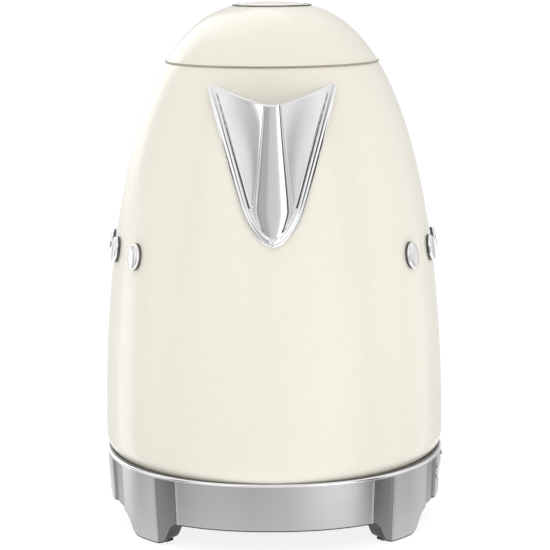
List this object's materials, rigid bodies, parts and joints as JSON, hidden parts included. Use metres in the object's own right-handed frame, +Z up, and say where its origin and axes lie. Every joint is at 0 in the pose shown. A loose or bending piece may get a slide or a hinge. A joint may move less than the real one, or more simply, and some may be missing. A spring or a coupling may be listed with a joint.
{
  "type": "electric kettle",
  "caption": "Domed electric kettle with a V-shaped pouring spout, rear handle and push-button lid, on a round swivel power base with side controls.",
  "frame": {"origin": "centre of the whole object's footprint, handle included, on the worktop; the kettle's own upright axis stands 27.5 mm in front of it", "axes": "+Z up, -Y the way the spout points, +Y towards the handle, +X the side with the controls"},
  "size_m": [0.171, 0.2261, 0.2565],
  "materials": {
    "cream_enamel": "glossy cream enamel",
    "chrome": "polished",
    "brushed_base": "brushed upright",
    "stainless": "satin",
    "black_plastic": "fine moulded texture",
    "rubber": "matt",
    "brass": "plain",
    "silicone": "translucent matt",
    "circuit_board": "solder mask",
    "clear_plastic": "clear",
    "white_plastic": "moulded"
  },
  "bodies": {
    "power_base": {"base_skin": "brushed_base", "base_tray": "black_plastic", "rubber_foot_1": "rubber", "rubber_foot_2": "rubber", "rubber_foot_3": "rubber", "rubber_foot_4": "rubber", "base_screw_1": "stainless", "base_screw_2": "stainless", "base_screw_3": "stainless", "base_top_plate": "black_plastic", "connector_housing": "black_plastic", "contact_pin": "brass", "contact_ring_inner": "brass", "contact_ring_outer": "brass", "control_board": "circuit_board", "power_board": "circuit_board", "indicator_lens": "clear_plastic", "cord_gland": "rubber"},
    "start_button": {"start_button": "chrome"},
    "temperature_button": {"temperature_button": "chrome"},
    "keep_warm_button": {"keep_warm_button": "chrome"},
    "swivel_ring": {"connector_shutter": "white_plastic"},
    "kettle": {"body_shell": "cream_enamel", "spout": "chrome", "water_window": "clear_plastic", "window_frame": "chrome", "neck_ring": "black_plastic", "heating_plate": "stainless", "plate_seal": "silicone", "temperature_sensor": "stainless", "heating_element": "stainless", "thermal_cutout": "white_plastic", "kettle_socket": "black_plastic", "socket_sleeve": "brass", "kettle_bottom_cover": "black_plastic", "cover_screw_1": "stainless", "cover_screw_2": "stainless", "cover_screw_3": "stainless", "handle": "chrome", "handle_grip": "rubber", "handle_mount_bottom": "chrome", "hinge_bracket": "black_plastic", "hinge_pin": "stainless", "hinge_spring": "stainless", "side_stud_right_1": "chrome", "side_stud_right_2": "chrome", "side_stud_right_3": "chrome", "side_stud_left_1": "chrome", "side_stud_left_2": "chrome", "side_stud_left_3": "chrome"},
    "filter": {"spout_filter": "black_plastic"},
    "lid": {"lid_shell": "cream_enamel", "lid_liner": "stainless", "lid_gasket": "silicone", "lid_carrier": "white_plastic", "lid_hinge_arm": "stainless", "button_ring": "chrome", "button_spring": "stainless"},
    "lid_button": {"lid_button": "cream_enamel"},
    "latch": {"lid_latch": "white_plastic"}
  },
  "joints": [
    {"name": "kettle_swivel", "type": "hinge", "parent": "power_base", "child": "swivel_ring", "pos_m": [0, -0.0275, 0.04], "axis": [0, 0, 1], "continuous": true},
    {"name": "kettle_lift", "type": "slide", "parent": "swivel_ring", "child": "kettle", "axis": [0, 0, 1], "range_m": [0, 0.1]},
    {"name": "lid_hinge", "type": "hinge", "parent": "kettle", "child": "lid", "pos_m": [0, 0.032, 0.2295], "axis": [-1, 0, 0], "range_deg": [0, 80]},
    {"name": "lid_button_press", "type": "slide", "parent": "lid", "child": "lid_button", "axis": [0, 0, -1], "range_m": [0, 0.003], "stiffness_N_per_m": 400, "springref_m": -0.004, "deforming": ["button_spring"]},
    {"name": "latch_slide", "type": "slide", "parent": "lid", "child": "latch", "axis": [0, 1, 0], "range_m": [0, 0.003]},
    {"name": "filter_slide", "type": "slide", "parent": "kettle", "child": "filter", "axis": [0, 1, 0], "range_m": [0, 0.02]},
    {"name": "start_button_press", "type": "slide", "parent": "power_base", "child": "start_button", "axis": [-0.9703, 0.2419, 0], "range_m": [0, 0.0008], "stiffness_N_per_m": 400, "springref_m": -0.001},
    {"name": "temperature_button_press", "type": "slide", "parent": "power_base", "child": "temperature_button", "axis": [-1, 0, 0], "range_m": [0, 0.0008], "stiffness_N_per_m": 400, "springref_m": -0.001},
    {"name": "keep_warm_button_press", "type": "slide", "parent": "power_base", "child": "keep_warm_button", "axis": [-0.9703, -0.2419, 0], "range_m": [0, 0.0008], "stiffness_N_per_m": 400, "springref_m": -0.001}
  ],
  "couplings": [
    {"joint": "latch_slide", "follows": "lid_button_press", "ratio": 1}
  ]
}
